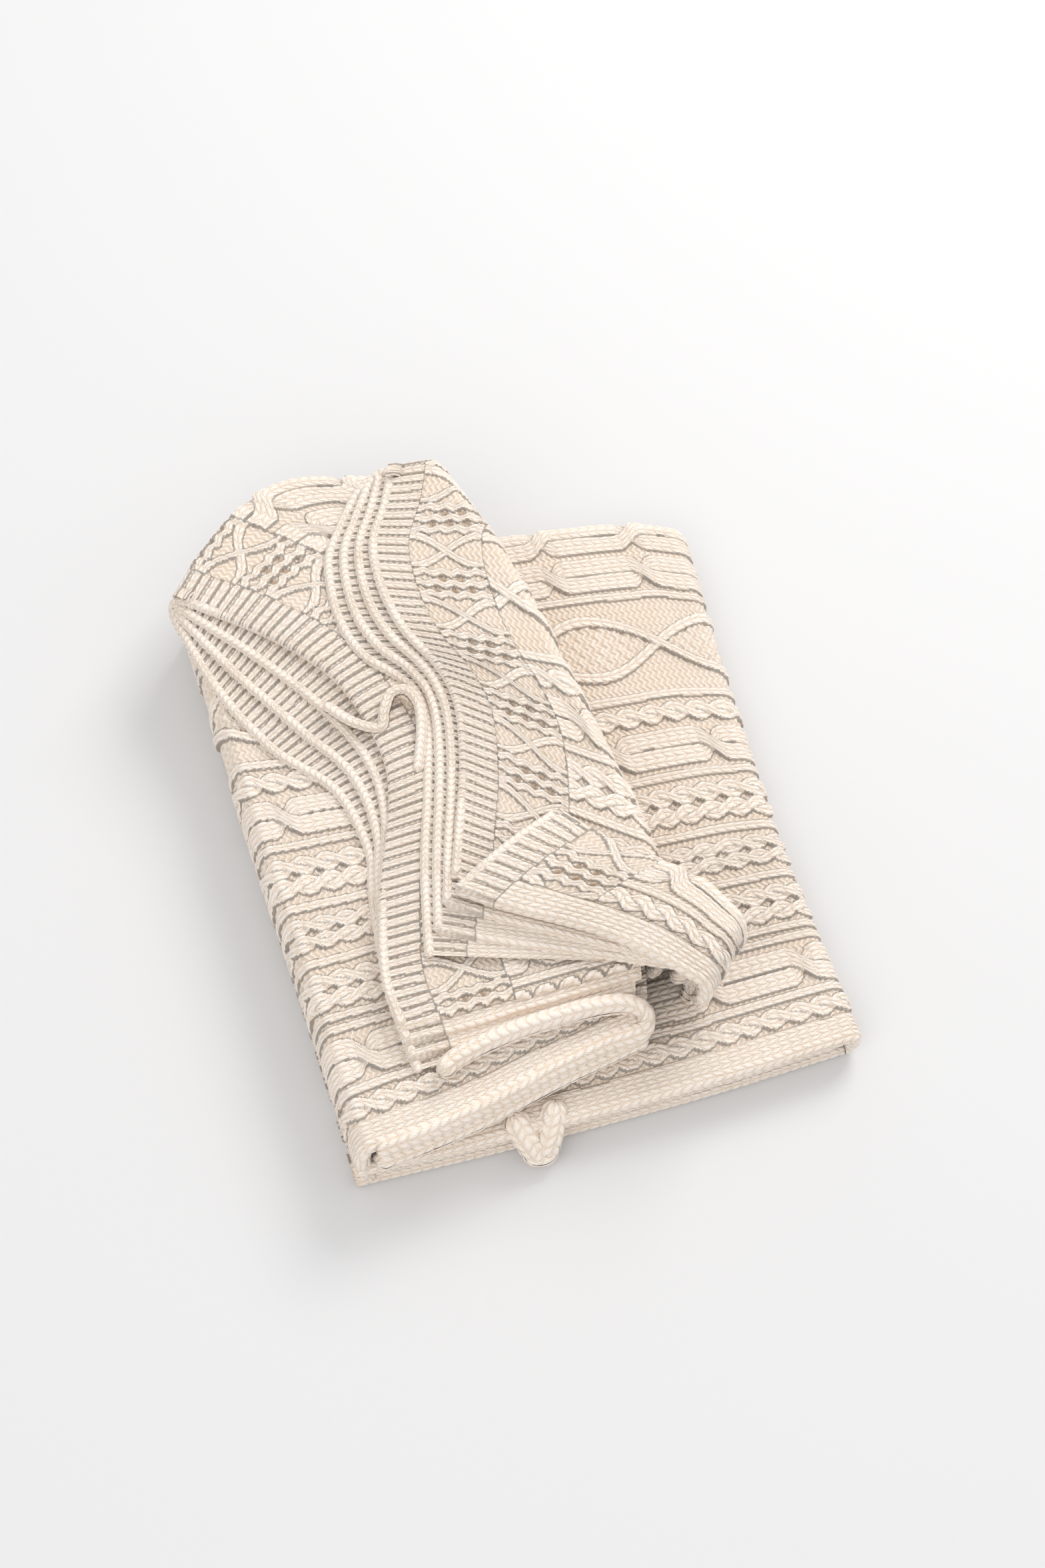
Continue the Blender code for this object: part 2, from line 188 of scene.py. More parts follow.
def knit(w, c, e=None):
    """(height, stitch column, course, shade, whether plain) of the knitting at each point."""
    w = w + 0.7 * wander(c, w, 23, 1)
    c = c + 0.9 * wander(w, c, 31, 2)
    q = np.abs((w + QUARTER) % (2 * QUARTER) - QUARTER)
    lift = np.zeros_like(w)
    a, b = q / COLUMN, c / COURSE
    plain = np.zeros(w.shape, bool)
    body = np.ones(w.shape, bool) if e is None else e > BORDER_DEPTH

    def strand(middle, half, count, height, inside, crown=0.9):
        """A raised strand of plain stitches, this many columns wide, over whatever lies lower."""
        nonlocal lift, a, plain
        d = (q - middle) / half
        top = height + crown * np.sqrt(np.clip(1 - d * d, 0, 1))
        on = inside & (np.abs(d) < 1) & (top > lift)
        lift = np.where(on, top, lift)
        a = np.where(on, d * count / 2 + (0.5 if count % 2 == 0 else 0), a)
        plain |= on

    hem = (np.abs(w) < 21) & (body if e is None else (e > RIB_DEPTH))
    middle_fold = body & (np.abs(w) > QUARTER) & (q < 14)
    turn = np.pi * c / TWIST
    for side in (0, np.pi):
        strand(4.5 * np.cos(turn + side), 4.6, 1, 1.0 + 0.9 * np.sin(turn + side), middle_fold)
    lift = np.where(hem, 0.9, lift)
    plain |= hem
    for low, high, kind in PANELS:
        inside = body & (q > low - 3) & (q < high + 3)
        if not inside.any():
            continue
        middle, half = (low + high) / 2, (high - low) / 2
        turn = np.pi * c / TWIST
        if kind == "rib":
            strand(middle, half + 0.2, 1, 0.8, inside, 1.0)
        elif kind == "rope":
            for side in (0, np.pi):
                strand(middle + 0.5 * half * np.cos(turn + side), 0.56 * half, 1,
                       1.0 + 1.1 * np.sin(turn + side), inside)
        elif kind == "big":
            t = c / CROSSING
            near = np.clip((t - np.round(t)) / 0.22, -1, 1)
            turn = np.pi * (np.round(t) + 0.5 + near * (1.5 - 0.5 * near * near) / 2)
            for side in (0, np.pi):
                swing = np.cos(turn + side)
                over = 1.6 * np.sin(turn + side) * (np.abs(near) < 1)
                strand(middle + 0.5 * half * swing, 0.485 * half, 2, 0.9 + over, inside, 1.0)
        elif kind == "horseshoe":
            for hand in (-1, 1):
                for side in (0, np.pi):
                    strand(middle + hand * 0.5 * half * (1 + 0.52 * np.cos(turn + side)), 0.29 * half, 1,
                           1.0 + 1.1 * np.sin(turn + side), inside)
        elif kind == "lattice":
            for hand in (-1, 1):
                for side in (0, np.pi):
                    way = np.sign(np.sin(turn / 2 + 0.25 * np.pi * (1 + hand)))
                    strand(middle + hand * 0.5 * half * (1 + 0.52 * np.cos(turn + side)), 0.29 * half, 1,
                           1.0 + 1.1 * way * np.sin(turn + side), inside)
        elif kind == "diamond":
            turn = np.pi * (c + 39.0) / DIAMOND + np.pi / 2
            for side in (0, np.pi):
                over = 0.9 * np.sign(np.sin(turn + side)) * np.abs(np.sin(turn)) ** 6
                strand(middle + 24.5 * np.cos(turn + side), 4.6, 1, 1.3 + over, inside, 1.2)
            moss = inside & ~plain & (np.abs(q - middle) < np.abs(24.5 * np.cos(turn)) - 3)
            bumps = np.cos(np.pi * q / COLUMN) * np.cos(np.pi * c / (0.8 * COURSE))
            lift = np.where(moss, 0.5 + 1.2 * np.abs(bumps) ** 0.7 * np.sign(bumps), lift)
    if e is not None:
        # Towards the ribbed edge the panels give way to a band of crossed strands and eyelets,
        # and that to the ribs.
        border = (e > RIB_DEPTH) & ~body & ~hem
        place = (w / MOTIF) % 1
        across = (place - 0.25) * MOTIF
        travel = 12.5 * np.cos(np.pi * (e - RIB_DEPTH) / (BORDER_DEPTH - RIB_DEPTH))
        q_kept, q = q, across
        for side in (-1, 1):
            strand(side * travel, 3.4, 1, 0.5 + 0.2 * side, border & (np.abs(across) < 16), 0.8)
        holes = np.zeros_like(w)
        for row, shift in ((0, 0.0), (1, 6.2)):
            line = across - 21.5 - 9.0 * row
            for side in (-1, 1):
                q = line - side * (4.5 + 1.1 * np.cos(2 * np.pi * (e - 40 - shift) / 12.4))
                strand(0.0, 3.0, 1, 0.6, border & (np.abs(line) < 9), 0.8)
            for k in range(3 - row):
                far = np.hypot(line, e - 40 - shift - 12.4 * k)
                holes += np.exp(-((far / 2.3) ** 4)) * border
        q = q_kept
        rib = e <= RIB_DEPTH
        ridge = w / RIB_PITCH
        x = np.abs(ridge - np.round(ridge))
        on = rib & (x < 0.40)
        a = np.where(rib, ridge * 2, a)
        a = np.where(on, np.round(ridge) + (ridge - np.round(ridge)) / 0.8, a)
        b = np.where(rib | border, e / COURSE, b)
        lift = np.where(rib, 1.1 * np.sqrt(np.clip(1 - (x / 0.44) ** 2, 0, 1)), lift)
        plain = np.where(rib, on, plain)
    b = np.where(plain, b, b * 1.7)
    fine = np.where(plain, loops(a, b), purls(a, b))
    # Painted shade for the colour: darker down between the legs of the stitches and on the low ground between
    # raised strands.
    shade = 0.75 * np.clip(1 - fine / 0.8, 0, 1) + 0.30 * np.clip(1 - lift / 1.2, 0, 1)
    height = lift + np.where(plain, 1.45, 1.0) * fine
    if e is not None:
        height = height - 4.0 * holes
        # The eyelets are sunk and also painted dark: painted shade in the holes.
        shade = np.clip(shade + holes, 0, 1)
    return height, a, b, shade, plain


# The yarn: undyed cotton, matt and a little hairy, one pale cream with a little random patchy tone. Its colour
# carries painted shade: paler on the rounds of the stitches, darker and browner down between them. A fine twist
# follows each leg of a stitch.
class Shade:
    """A socket of a material, with the usual signs for its maths."""

    tree = None

    def __init__(self, socket):
        self.socket = socket

    @classmethod
    def node(cls, kind, settings=(), **links):
        made = cls.tree.nodes.new(kind)
        for key, value in dict(settings).items():
            setattr(made, key, value)
        for key, value in links.items():
            place = int(key[1:]) if key[0] == "i" and key[1:].isdigit() else key.replace("_", " ")
            if isinstance(value, Shade):
                cls.tree.links.new(value.socket, made.inputs[place])
            else:
                made.inputs[place].default_value = value
        return made

    def maths(self, operation, other=0.0, swap=False):
        pair = (other, self) if swap else (self, other)
        return Shade(Shade.node("ShaderNodeMath", {"operation": operation}, i0=pair[0], i1=pair[1]).outputs[0])

    def __add__(self, other):
        return self.maths("ADD", other)

    def __mul__(self, other):
        return self.maths("MULTIPLY", other)

    def __sub__(self, other):
        return self.maths("SUBTRACT", other)

    def __rsub__(self, other):
        return self.maths("SUBTRACT", other, swap=True)

    __radd__, __rmul__ = __add__, __mul__


def yarn(name, pale, warm_shade_and_tone):
    """Cotton yarn in pale cream, with painted shade, darker and browner, down between its stitches."""
    made = bpy.data.materials.new(name)
    made.use_nodes = True
    Shade.tree = made.node_tree
    surface = made.node_tree.nodes["Principled BSDF"]
    surface.inputs["Roughness"].default_value = 0.92
    surface.inputs["Specular IOR Level"].default_value = 0.18
    surface.inputs["Sheen Weight"].default_value = 0.25
    surface.inputs["Sheen Roughness"].default_value = 0.5
    surface.inputs["Sheen Tint"].default_value = (1.0, 0.97, 0.92, 1)
    place = Shade(Shade.node("ShaderNodeTexCoord").outputs["Object"])
    stitch = Shade(Shade.node("ShaderNodeUVMap", {"uv_map": "stitches"}).outputs[0])
    painted_shade = Shade(Shade.node("ShaderNodeAttribute", {"attribute_name": "painted_shade"}).outputs["Fac"])
    plain = Shade(Shade.node("ShaderNodeAttribute", {"attribute_name": "plain"}).outputs["Fac"])
    patches = Shade(Shade.node("ShaderNodeTexNoise", Vector=place, Scale=28.0, Detail=3.0).outputs[0])
    fuzz = Shade(Shade.node("ShaderNodeTexNoise", Vector=place, Scale=1400.0, Detail=2.0).outputs[0])
    split = Shade.node("ShaderNodeSeparateXYZ", Vector=stitch)
    column, course = Shade(split.outputs[0]), Shade(split.outputs[1])
    leg = (column - column.maths("ROUND")).maths("ABSOLUTE")
    twist = ((leg * 3.4 + course) * 12.6).maths("SINE")
    slope = course - leg * 1.15
    along_leg = (slope - slope.maths("FLOOR")) * 2.0 - 1.0
    across_leg = (leg - 0.25).maths("ABSOLUTE") * 4.0
    along_leg = along_leg.maths("ABSOLUTE")
    stitch_round = (1.0 - across_leg.maths("POWER", 2.4) * 0.95) * (1.0 - along_leg.maths("POWER", 2.6) * 0.85)
    wavy = ((course + (column * 6.2832).maths("COSINE") * 0.27) * 6.2832).maths("COSINE")
    # Painted shade: the colour turns darker and browner in the creases between the legs of plain stitches and
    # between purl bars, and where the mesh's shade attribute says the cloth lies low. The creases also shape
    # the bump. Patches and fuzz are the yarn's own random tone.
    crease = (1.0 - stitch_round.maths("MAXIMUM", 0.0)) * plain + (0.5 - wavy * 0.5) * (1.0 - plain) * 0.8
    mix = painted_shade * 0.55 + crease * 0.5 + (patches - 0.5) * 0.5 + (0.5 - fuzz) * 0.35 - 0.08
    mix = mix.maths("MAXIMUM", 0.0).maths("MINIMUM", 1.0)
    colour = Shade.node("ShaderNodeMix", {"data_type": "RGBA"}, Factor=mix)
    colour.inputs[6].default_value = (*pale, 1)
    colour.inputs[7].default_value = (*warm_shade_and_tone, 1)
    made.node_tree.links.new(colour.outputs[2], surface.inputs["Base Color"])
    relief = twist * 0.12 + fuzz * 0.5 - crease * 1.1
    bump = Shade.node("ShaderNodeBump", Strength=0.85, Distance=0.0011, Height=relief)
    made.node_tree.links.new(bump.outputs[0], surface.inputs["Normal"])
    return made


# The second colour is mostly painted shade, laid down between the stitches, and also the far end of the yarn's
# random patchy tone.
YARN = yarn("cream_cotton_yarn", (0.94, 0.852, 0.772), (0.80, 0.635, 0.48))
CLOTH_RELIEF = 0.86  # how much of the knitting's height shows in a cloth that lies under its own weight


def cloth(name, grid, w, c, body, replaced=(), e=None, depth=1.0, face=1):
    """A knitted surface over a grid of places, raised along its normal by its stitches."""
    turned = face * np.cross(np.gradient(grid, axis=1), np.gradient(grid, axis=0))
    turned /= np.maximum(np.linalg.norm(turned, axis=2), 1e-12)[..., None]
    height, a, b, shade, plain = knit(w, c, e)
    depth = CLOTH_RELIEF * depth
    points = grid + turned * (height * depth * MM)[..., None]
    rows, columns = height.shape
    index = np.arange(rows * columns).reshape(rows, columns)
    corners = np.stack([index[:-1, :-1], index[:-1, 1:], index[1:, 1:], index[1:, :-1]], axis=-1)
    corners = corners.reshape(-1, 4)[:, ::face].reshape(-1)
    mesh = bpy.data.meshes.new(name)
    mesh.vertices.add(rows * columns)
    mesh.vertices.foreach_set("co", points.reshape(-1).astype(np.float32))
    count = len(corners) // 4
    mesh.loops.add(4 * count)
    mesh.loops.foreach_set("vertex_index", corners.astype(np.int32))
    mesh.polygons.add(count)
    mesh.polygons.foreach_set("loop_start", np.arange(0, 4 * count, 4, dtype=np.int32))
    mesh.update(calc_edges=True)
    mesh.polygons.foreach_set("use_smooth", np.ones(count, bool))
    uv = np.stack([a.reshape(-1), b.reshape(-1)], axis=1)[corners]
    mesh.uv_layers.new(name="stitches").data.foreach_set("uv", uv.reshape(-1).astype(np.float32))
    # The painted shade and the flag for plain stitches go to the mesh as point attributes.
    for key, values in (("painted_shade", shade), ("plain", plain)):
        kept = mesh.attributes.new(key, "FLOAT", "POINT")
        kept.data.foreach_set("value", values.reshape(-1).astype(np.float32))
    mesh.materials.append(YARN)
    made = bpy.data.objects.new(name, mesh)
    bpy.context.scene.collection.objects.link(made)
    if body:
        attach(made, body)
    if replaced:
        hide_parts(*replaced)
    middle = grid + turned * height.mean() * depth * MM
    return made


def roll_steps(radius, angle, tail, step):
    """How far round a rolled edge, and how far past it, each row of stitches lies."""
    turn = np.linspace(0, angle, max(2, int(radius * abs(angle) / step) + 1))[1:]
    past = np.linspace(0, tail, int(tail / step) + 1)[1:] if tail else np.empty(0)
    return np.concatenate([turn, np.full(len(past), angle)]), np.concatenate([np.zeros(len(turn)), past])


def spread(left, right, near, far, rows, columns):
    """A flat patch between two sides and a near and a far line."""
    t, s = np.linspace(0, 1, rows)[:, None, None], np.linspace(0, 1, columns)[None, :, None]
    flat = (1 - s) * along(left, t[:, 0, 0])[:, None] + s * along(right, t[:, 0, 0])[:, None]
    first, last = flat[:1].copy(), flat[-1:].copy()
    flat = flat + (1 - t) * (along(near, s[0, :, 0])[None] - first)
    return flat + t * (along(far, s[0, :, 0])[None] - last)


def way_out(flat, side):
    """The level direction out of one side of a patch, at each place along it."""
    ways = {"near": flat[0] - flat[3], "far": flat[-1] - flat[-4], "start": flat[:, 0] - flat[:, 3],
            "end": flat[:, -1] - flat[:, -4]}
    return ways[side] / np.linalg.norm(ways[side], axis=-1, keepdims=True)


# ---------------------------------------------------------------------------------------------
# Base: the lowest run of the folded strip, right side up on top. Its hem rolls under along the
# near side, its far side turns down into the next plies, and at the right the whole strip is
# doubled round the right fold. Underneath lies the same knitting, turned round the same fold.
# ---------------------------------------------------------------------------------------------
STITCH_STEP = 1.12 * MM
RELIEF = 2.6 * MM  # how far the stitches stand above the cloth they are raised from
FOLD_DEPTH = 13.0 * MM
left_edge, right_edge = smooth(LEFT_EDGE), smooth(RIGHT_EDGE)
base_near, base_far = smooth(BASE_NEAR), smooth(BASE_FAR)


def rolled(flat, height, up, near, far, start, end, step):
    """A patch in space, with its sides rolled over: each side is (radius, angle, tail, height
    of the roll or None for a round one). near and far run along the rows, start and end along
    the columns, and the steeper fold of the two carries the other round with it."""
    rows, columns = flat.shape[:2]
    bends = {}
    for key, side in (("near", near), ("far", far), ("start", start), ("end", end)):
        if side:
            turn, past = roll_steps(side[0], side[1], side[2], step)
            bends[key] = (side[0], side[3] if len(side) > 3 else side[0], turn, past)
    size = {key: len(bend[2]) for key, bend in bends.items()}
    ri = np.arange(-size.get("near", 0), rows + size.get("far", 0))
    ci = np.arange(-size.get("start", 0), columns + size.get("end", 0))
    rc, cc = np.clip(ri, 0, rows - 1), np.clip(ci, 0, columns - 1)
    place = np.zeros((len(ri), len(ci), 3))
    place[..., :2] = flat[rc[:, None], cc[None, :]]
    place[..., 2] = height[rc[:, None], cc[None, :]]
    inward = np.zeros_like(place)
    inward[..., 2] = -up
    gone_r, gone_c = np.zeros(len(ri)), np.zeros(len(ci))
    for key in ("end", "start", "near", "far"):
        if key not in bends:
            continue
        flat_radius, tall, turn, past = bends[key]
        if key in ("near", "far"):
            at_rows = np.where(ri < 0)[0][::-1] if key == "near" else np.where(ri >= rows)[0]
            out = way_out(flat, key)[cc]
            gone_r[at_rows] = flat_radius * turn + past
            for row, angle, more in zip(at_rows, turn, past):
                level = flat_radius * np.sin(angle) + more * np.cos(angle)
                place[row, :, :2] += out * level
                place[row] += inward[row] * (tall * (1 - np.cos(angle)))
        else:
            at_columns = np.where(ci < 0)[0][::-1] if key == "start" else np.where(ci >= columns)[0]
            out = way_out(flat, key)[rc]
            gone_c[at_columns] = flat_radius * turn + past
            for column, angle, more in zip(at_columns, turn, past):
                level = flat_radius * np.sin(angle) + more * np.cos(angle)
                place[:, column, :2] += out * level
                place[:, column, 2] -= up * tall * (1 - np.cos(angle))
                inward[:, column, :2] = -out * np.sin(angle)
                inward[:, column, 2] = -up * np.cos(angle)
    return place, ri, ci, gone_r, gone_c


def reach(flat, column):
    """How far each row of a patch runs from its start side to this column, in millimetres."""
    return np.linalg.norm(np.diff(flat[:, :column + 1], axis=1), axis=2).sum(axis=1) / MM


def measures(flat, ri, ci, gone_r, gone_c, w_near, w_far, before=None):
    """w and the distance from the start side, in millimetres, over a rolled patch."""
    rows, columns = flat.shape[:2]
    rc, cc = np.clip(ri, 0, rows - 1), np.clip(ci, 0, columns - 1)
    round_r = np.where(ri < 0, -gone_r, np.where(ri >= rows, gone_r, 0))
    round_c = np.where(ci < 0, -gone_c, np.where(ci >= columns, gone_c, 0))
    w = w_near + (w_far - w_near) * rc / (rows - 1) + round_r / MM
    steps = np.linalg.norm(np.diff(flat, axis=1), axis=2)
    run = np.concatenate([np.zeros((rows, 1)), np.cumsum(steps, axis=1)], axis=1) / MM
    far = run[rc[:, None], cc[None, :]] + round_c[None, :] / MM
    if before is not None:
        far += before[rc][:, None]
    return np.broadcast_to(w[:, None], far.shape).copy(), far


def counts(left, right, near, far, step):
    """How many rows and columns of places fill a patch between these lines."""
    return int(max(length_of(left), length_of(right)) / step), int(max(length_of(near), length_of(far)) / step)


def clipped(path, low, high):
    """A side of the block between two places across it."""
    inside = path[(path[:, 1] > low) & (path[:, 1] < high)]
    ends = [(np.interp(y, path[:, 1], path[:, 0]), y) for y in (low, high)]
    return np.vstack([ends[0], inside, ends[1]])


left_flat = clipped(moved(left_edge, -FOLD_DEPTH), base_near[0, 1], base_far[0, 1])
right_flat = clipped(moved(right_edge, FOLD_DEPTH), base_near[-1, 1], base_far[-1, 1])
base_rows, base_columns = counts(left_flat, right_flat, base_near, base_far, STITCH_STEP)
base_flat = spread(left_flat, right_flat, base_near, base_far, base_rows, base_columns)
half = base_columns * 52 // 100
base_level = np.full(base_flat.shape[:2], BASE_TOP - RELIEF)
base_level += 0.9 * MM * wander(base_flat[..., 0], base_flat[..., 1], 0.07, 5)
NEAR_W, FAR_W = 6.0, 446.0
# How a side rolls over: radius, angle, and how far the cloth runs on past the roll.
HEM = (HEM_RADIUS - 1.2 * MM, 4.3, 0.0)
FAR_BEND = (6.5 * MM, 2.9, 0.0)
fold_tall = (BASE_TOP - RELIEF - 3.2 * MM) / 2  # half the height of the right fold
crossing_x = at(0.77, 0.5)[0]  # where the base's big cables cross


def courses(flat, far, crossing):
    """Courses counted from the place, left to right, where the big cables cross."""
    return far + (flat[:1, :1, 0] - crossing) / MM


for name, columns in (("base_top_left", slice(0, half + 1)), ("base_top_right", slice(half, base_columns))):
    part, right = base_flat[:, columns], name == "base_top_right"
    end = (FOLD_DEPTH - RELIEF, math.pi, 0.0, fold_tall) if right else None
    place, *steps = rolled(part, base_level[:, columns], 1, HEM, FAR_BEND, None, end, STITCH_STEP)
    w, far = measures(part, *steps, NEAR_W, FAR_W, reach(base_flat, columns.start))
    nodes = ("base_plies_1", "base_hem_upper", "right_fold") if right else ()
    cloth(name, place, w, courses(base_flat, far, crossing_x), "base", nodes)

UNDER_STEP = 2.3 * MM  # coarser, since it lies on the floor
under_rows, under_columns = counts(left_flat, right_flat, base_near, base_far, UNDER_STEP)
under_flat = spread(left_flat, right_flat, base_near, base_far, under_rows, under_columns)
under_level = np.full(under_flat.shape[:2], 0.45 * RELIEF)
place, *steps = rolled(under_flat, under_level, -1, HEM, FAR_BEND, None, None, UNDER_STEP)
w, far = measures(under_flat, *steps, NEAR_W, FAR_W)
cloth("base_underside", place, w, courses(under_flat, far, crossing_x), "base",
      ("base_plies_4", "base_hem_lower"), depth=0.42, face=-1)


def ridge(name, path, radius, body, nodes=(), slot="hem_knit", w_middle=0.0, tall=None, depth=1.0, finer=1.0):
    """A side hem rolled on itself, or a ply's folded edge: a round of stitches along a path."""
    length = length_of(path)
    line = along(path, np.linspace(0, 1, int(length / STITCH_STEP)))
    way = np.gradient(line, axis=0)
    way /= np.linalg.norm(way, axis=1)[:, None]
    side = np.cross(way, (0, 0, 1))
    side /= np.linalg.norm(side, axis=1)[:, None]
    above = np.cross(side, way)
    angles = np.pi * np.linspace(0.0, 2.0, max(8, int(radius * np.pi * 2.0 / STITCH_STEP)))
    tall = radius if tall is None else tall
    # its two ends close to a dome
    index = np.arange(len(line))
    from_end = np.clip(np.minimum(index, index[::-1]) * STITCH_STEP / radius, 0, 1)
    size = np.sqrt(1 - (1 - from_end) ** 2)[:, None, None] * 0.98 + 0.02
    level, upright = radius * np.cos(angles)[None, :, None], tall * np.sin(angles)[None, :, None]
    grid = line[:, None] + (level * side[:, None] + upright * above[:, None]) * size
    w = w_middle + radius * (angles - np.pi / 2) / MM + np.zeros(grid.shape[:2])
    if w_middle == 0.0:
        w = w * min(20.0 / np.abs(w).max(), 1.3)
    c = finer * np.linspace(0, length / MM, len(line))[:, None] + np.zeros(grid.shape[:2])
    return cloth(name, grid, w, c, body, nodes, depth=depth, face=-1)


def lifted(path, height):
    """A flat path at a height, which may change along it."""
    return np.column_stack([path, np.broadcast_to(height, len(path))])


# Between the two hems of the base show the edges of its inner plies: two more hems, then the
# folds down the middle of the throw.
base_line = along(base_near, np.linspace(0.03, 0.985, 120))
for name, back, height, radius, w_middle, nodes in (
        ("base_second_hem", 3.0, 0.66, 3.4, 0.0, ("base_plies_2",)),
        ("base_middle_folds", 5.0, 0.48, 3.4, 850.0, ("base_plies_3",)),
        ("base_third_hem", 2.4, 0.31, 3.4, 0.0, ())):
    level = height * BASE_TOP + 0.8 * MM * wander(base_line[:, 0], base_line[:, 1], 0.05, len(name))
    ridge(name, lifted(moved(base_line, back * MM), level), radius * MM, "base", nodes, w_middle=w_middle)

# Its hem's corner is turned out at the front and points down to the floor.
tuck_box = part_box("hem_tuck")
tuck_x = (tuck_box[0][0] + tuck_box[1][0]) / 2
tuck_y = tuck_box[0][1]
tuck = np.array([(tuck_x - 0.014, tuck_y + 0.030, 0.037), (tuck_x - 0.0085, tuck_y + 0.017, 0.024),
                 (tuck_x - 0.003, tuck_y + 0.0085, 0.0095), (tuck_x + 0.003, tuck_y + 0.0085, 0.0095),
                 (tuck_x + 0.0085, tuck_y + 0.016, 0.022), (tuck_x + 0.016, tuck_y + 0.030, 0.037)])
ridge("hem_corner", along(tuck, np.linspace(0, 1, 40)), 7.4 * MM, "base", ("hem_tuck",), tall=6.8 * MM)

# ---------------------------------------------------------------------------------------------
# Left fold and leaf: the strip turns back over the base round the left fold and lies on it,
# with its own rolled hem and, just under that, the hem of its next ply, pushed out nearer.
# ---------------------------------------------------------------------------------------------
LEAF_MARGIN = 8.0 * MM
leaf_near = smooth(LEAF_NEAR)
inner_turn, outer_turn = smooth(INNER_TURN), smooth(OUTER_TURN)
leaf_right = clipped(inner_turn, inner_turn[0, 1], 0.20)
leaf_right = np.vstack([leaf_near[-1:], leaf_right[leaf_right[:, 1] > leaf_near[-1, 1] + 0.004]])
leaf_right[:, 0] -= LEAF_MARGIN
leaf_far = np.linspace(left_flat[-1], leaf_right[-1], 60)
near_x = np.linspace(left_flat[0, 0], leaf_right[0, 0], 80)
leaf_near = np.column_stack([near_x, np.interp(near_x, leaf_near[:, 0], leaf_near[:, 1])])
leaf_rows, leaf_columns = counts(left_flat, leaf_right, leaf_near, leaf_far, STITCH_STEP)
leaf_flat = spread(left_flat, leaf_right, leaf_near, leaf_far, leaf_rows, leaf_columns)
leaf_level = LEAF_TOP - RELIEF + 0.8 * MM * wander(leaf_flat[..., 0], leaf_flat[..., 1], 0.06, 9)
leaf_crossing = at(0.11, 0.5)[0]
left_tall = (LEAF_TOP - RELIEF - 3.4 * MM) / 2  # half the height of the left fold


def leaf_panels(w, far):
    """The leaf's columns fan out a little from its hem to its far side."""
    share = np.clip(w / FAR_W, 0, 1.1)
    return w + far * (0.04 + 0.30 * share**1.6)


for name, columns in (("left_fold", slice(0, 5)), ("leaf_top_left", slice(4, 92)),
                      ("leaf_top_right", slice(91, leaf_columns))):
    part, fold = leaf_flat[:, columns], name == "left_fold"
    start = (FOLD_DEPTH - RELIEF, math.pi, 0.0, left_tall) if fold else None
    place, *steps = rolled(part, leaf_level[:, columns], 1, HEM, FAR_BEND, start, None, STITCH_STEP)
    w, far = measures(part, *steps, NEAR_W, FAR_W, reach(leaf_flat, columns.start))
    w = leaf_panels(w, far)
    c = courses(leaf_flat, far, leaf_crossing)
    if fold:
        made = cloth(name, place, w, c, None, ("left_fold_lower", "left_fold_upper"))
        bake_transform(made)
    else:
        nodes = ("leaf_plies_1", "leaf_hem_upper") if name == "leaf_top_left" else ("leaf_plies_2",)
        cloth(name, place, w, c, "leaf", nodes)

leaf_line = along(leaf_near, np.linspace(0.01, 0.97, 120))
low_level = LEAF_TOP - 21.5 * MM + 0.7 * MM * wander(leaf_line[:, 0], leaf_line[:, 1], 0.04, 3)
low_line = lifted(moved(leaf_line, -8.5 * MM), low_level)
ridge("leaf_second_hem", low_line, 5.2 * MM, "leaf", ("leaf_hem_lower",))
low_line = lifted(moved(leaf_line, -4.0 * MM), LEAF_TOP - 29.5 * MM)
ridge("leaf_third_hem", low_line, 4.6 * MM, "leaf", ("leaf_plies_4",))
back_line = lifted(along(leaf_far, np.linspace(0.0, 1, 60)), BASE_TOP + 8.6 * MM)
ridge("leaf_lower_far_fold", back_line, 7.2 * MM, "leaf", ("leaf_plies_3",), slot="cable_knit", w_middle=425.0)


# The leaf's hem runs on: at the right it leaves the leaf, turns back on itself in a loose loop
# and becomes the near hem of the inner end above.
def loose(points, count):
    """A smooth line through places given in millimetres from the block's middle."""
    return along(curve(np.array(points, float) * MM), np.linspace(0, 1, count))


hem_run = moved(along(leaf_near, np.linspace(0.84, 0.02, 13)), 5.0 * MM) / MM
loop_places = [(-104, -207, 76), (-88, -199, 76), (-50, -192, 75.5), (-10, -190, 75), (16, -191, 74),
               (31, -194, 70), (38, -201, 64), (33, -209, 58.5)]
loop = loose([*loop_places, *((x, y, 56.5) for x, y in hem_run)], 340)
hem_loop = ridge("hem_loop", loop, 4.8 * MM, None, ("inner_end_hem",), tall=8.4 * MM)
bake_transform(hem_loop)

# ---------------------------------------------------------------------------------------------
# Ends: four plies each, every one with its ribbed border along the left, the upper pair folded
# over the lower pair along the far side. The strip turns up out of the leaf into them round
# two open turns, the inner one inside the outer.
# ---------------------------------------------------------------------------------------------
PLY = (OUTER_TOP - INNER_TOP) / 4
BRAID = 2.6 * MM
RIM = (2.2 * MM, 3.4, 0.0)
PLY_HEM = (2.3 * MM, 4.0, 0.0)
PLY_FOLD = (2.2 * MM, math.pi, 0.0)
END_FOLD = (6.0 * MM, math.pi, 8.0 * MM, 1.5 * PLY)
END_FOLD_INSIDE = (2.4 * MM, math.pi, 0.0, 0.5 * PLY)
RIM_COURSES = 30.0  # courses are counted from this far inside the ribbed edge
FINE_WIDTH = 0.052  # the part of a lower ply that shows, and so is finer than the rest

# Half way up its turn the cloth of each end is the cloth of the leaf below it.
TURN_LOW = {"inner_end": BASE_TOP + 17.5 * MM, "outer_end": BASE_TOP + 1.0 * MM}


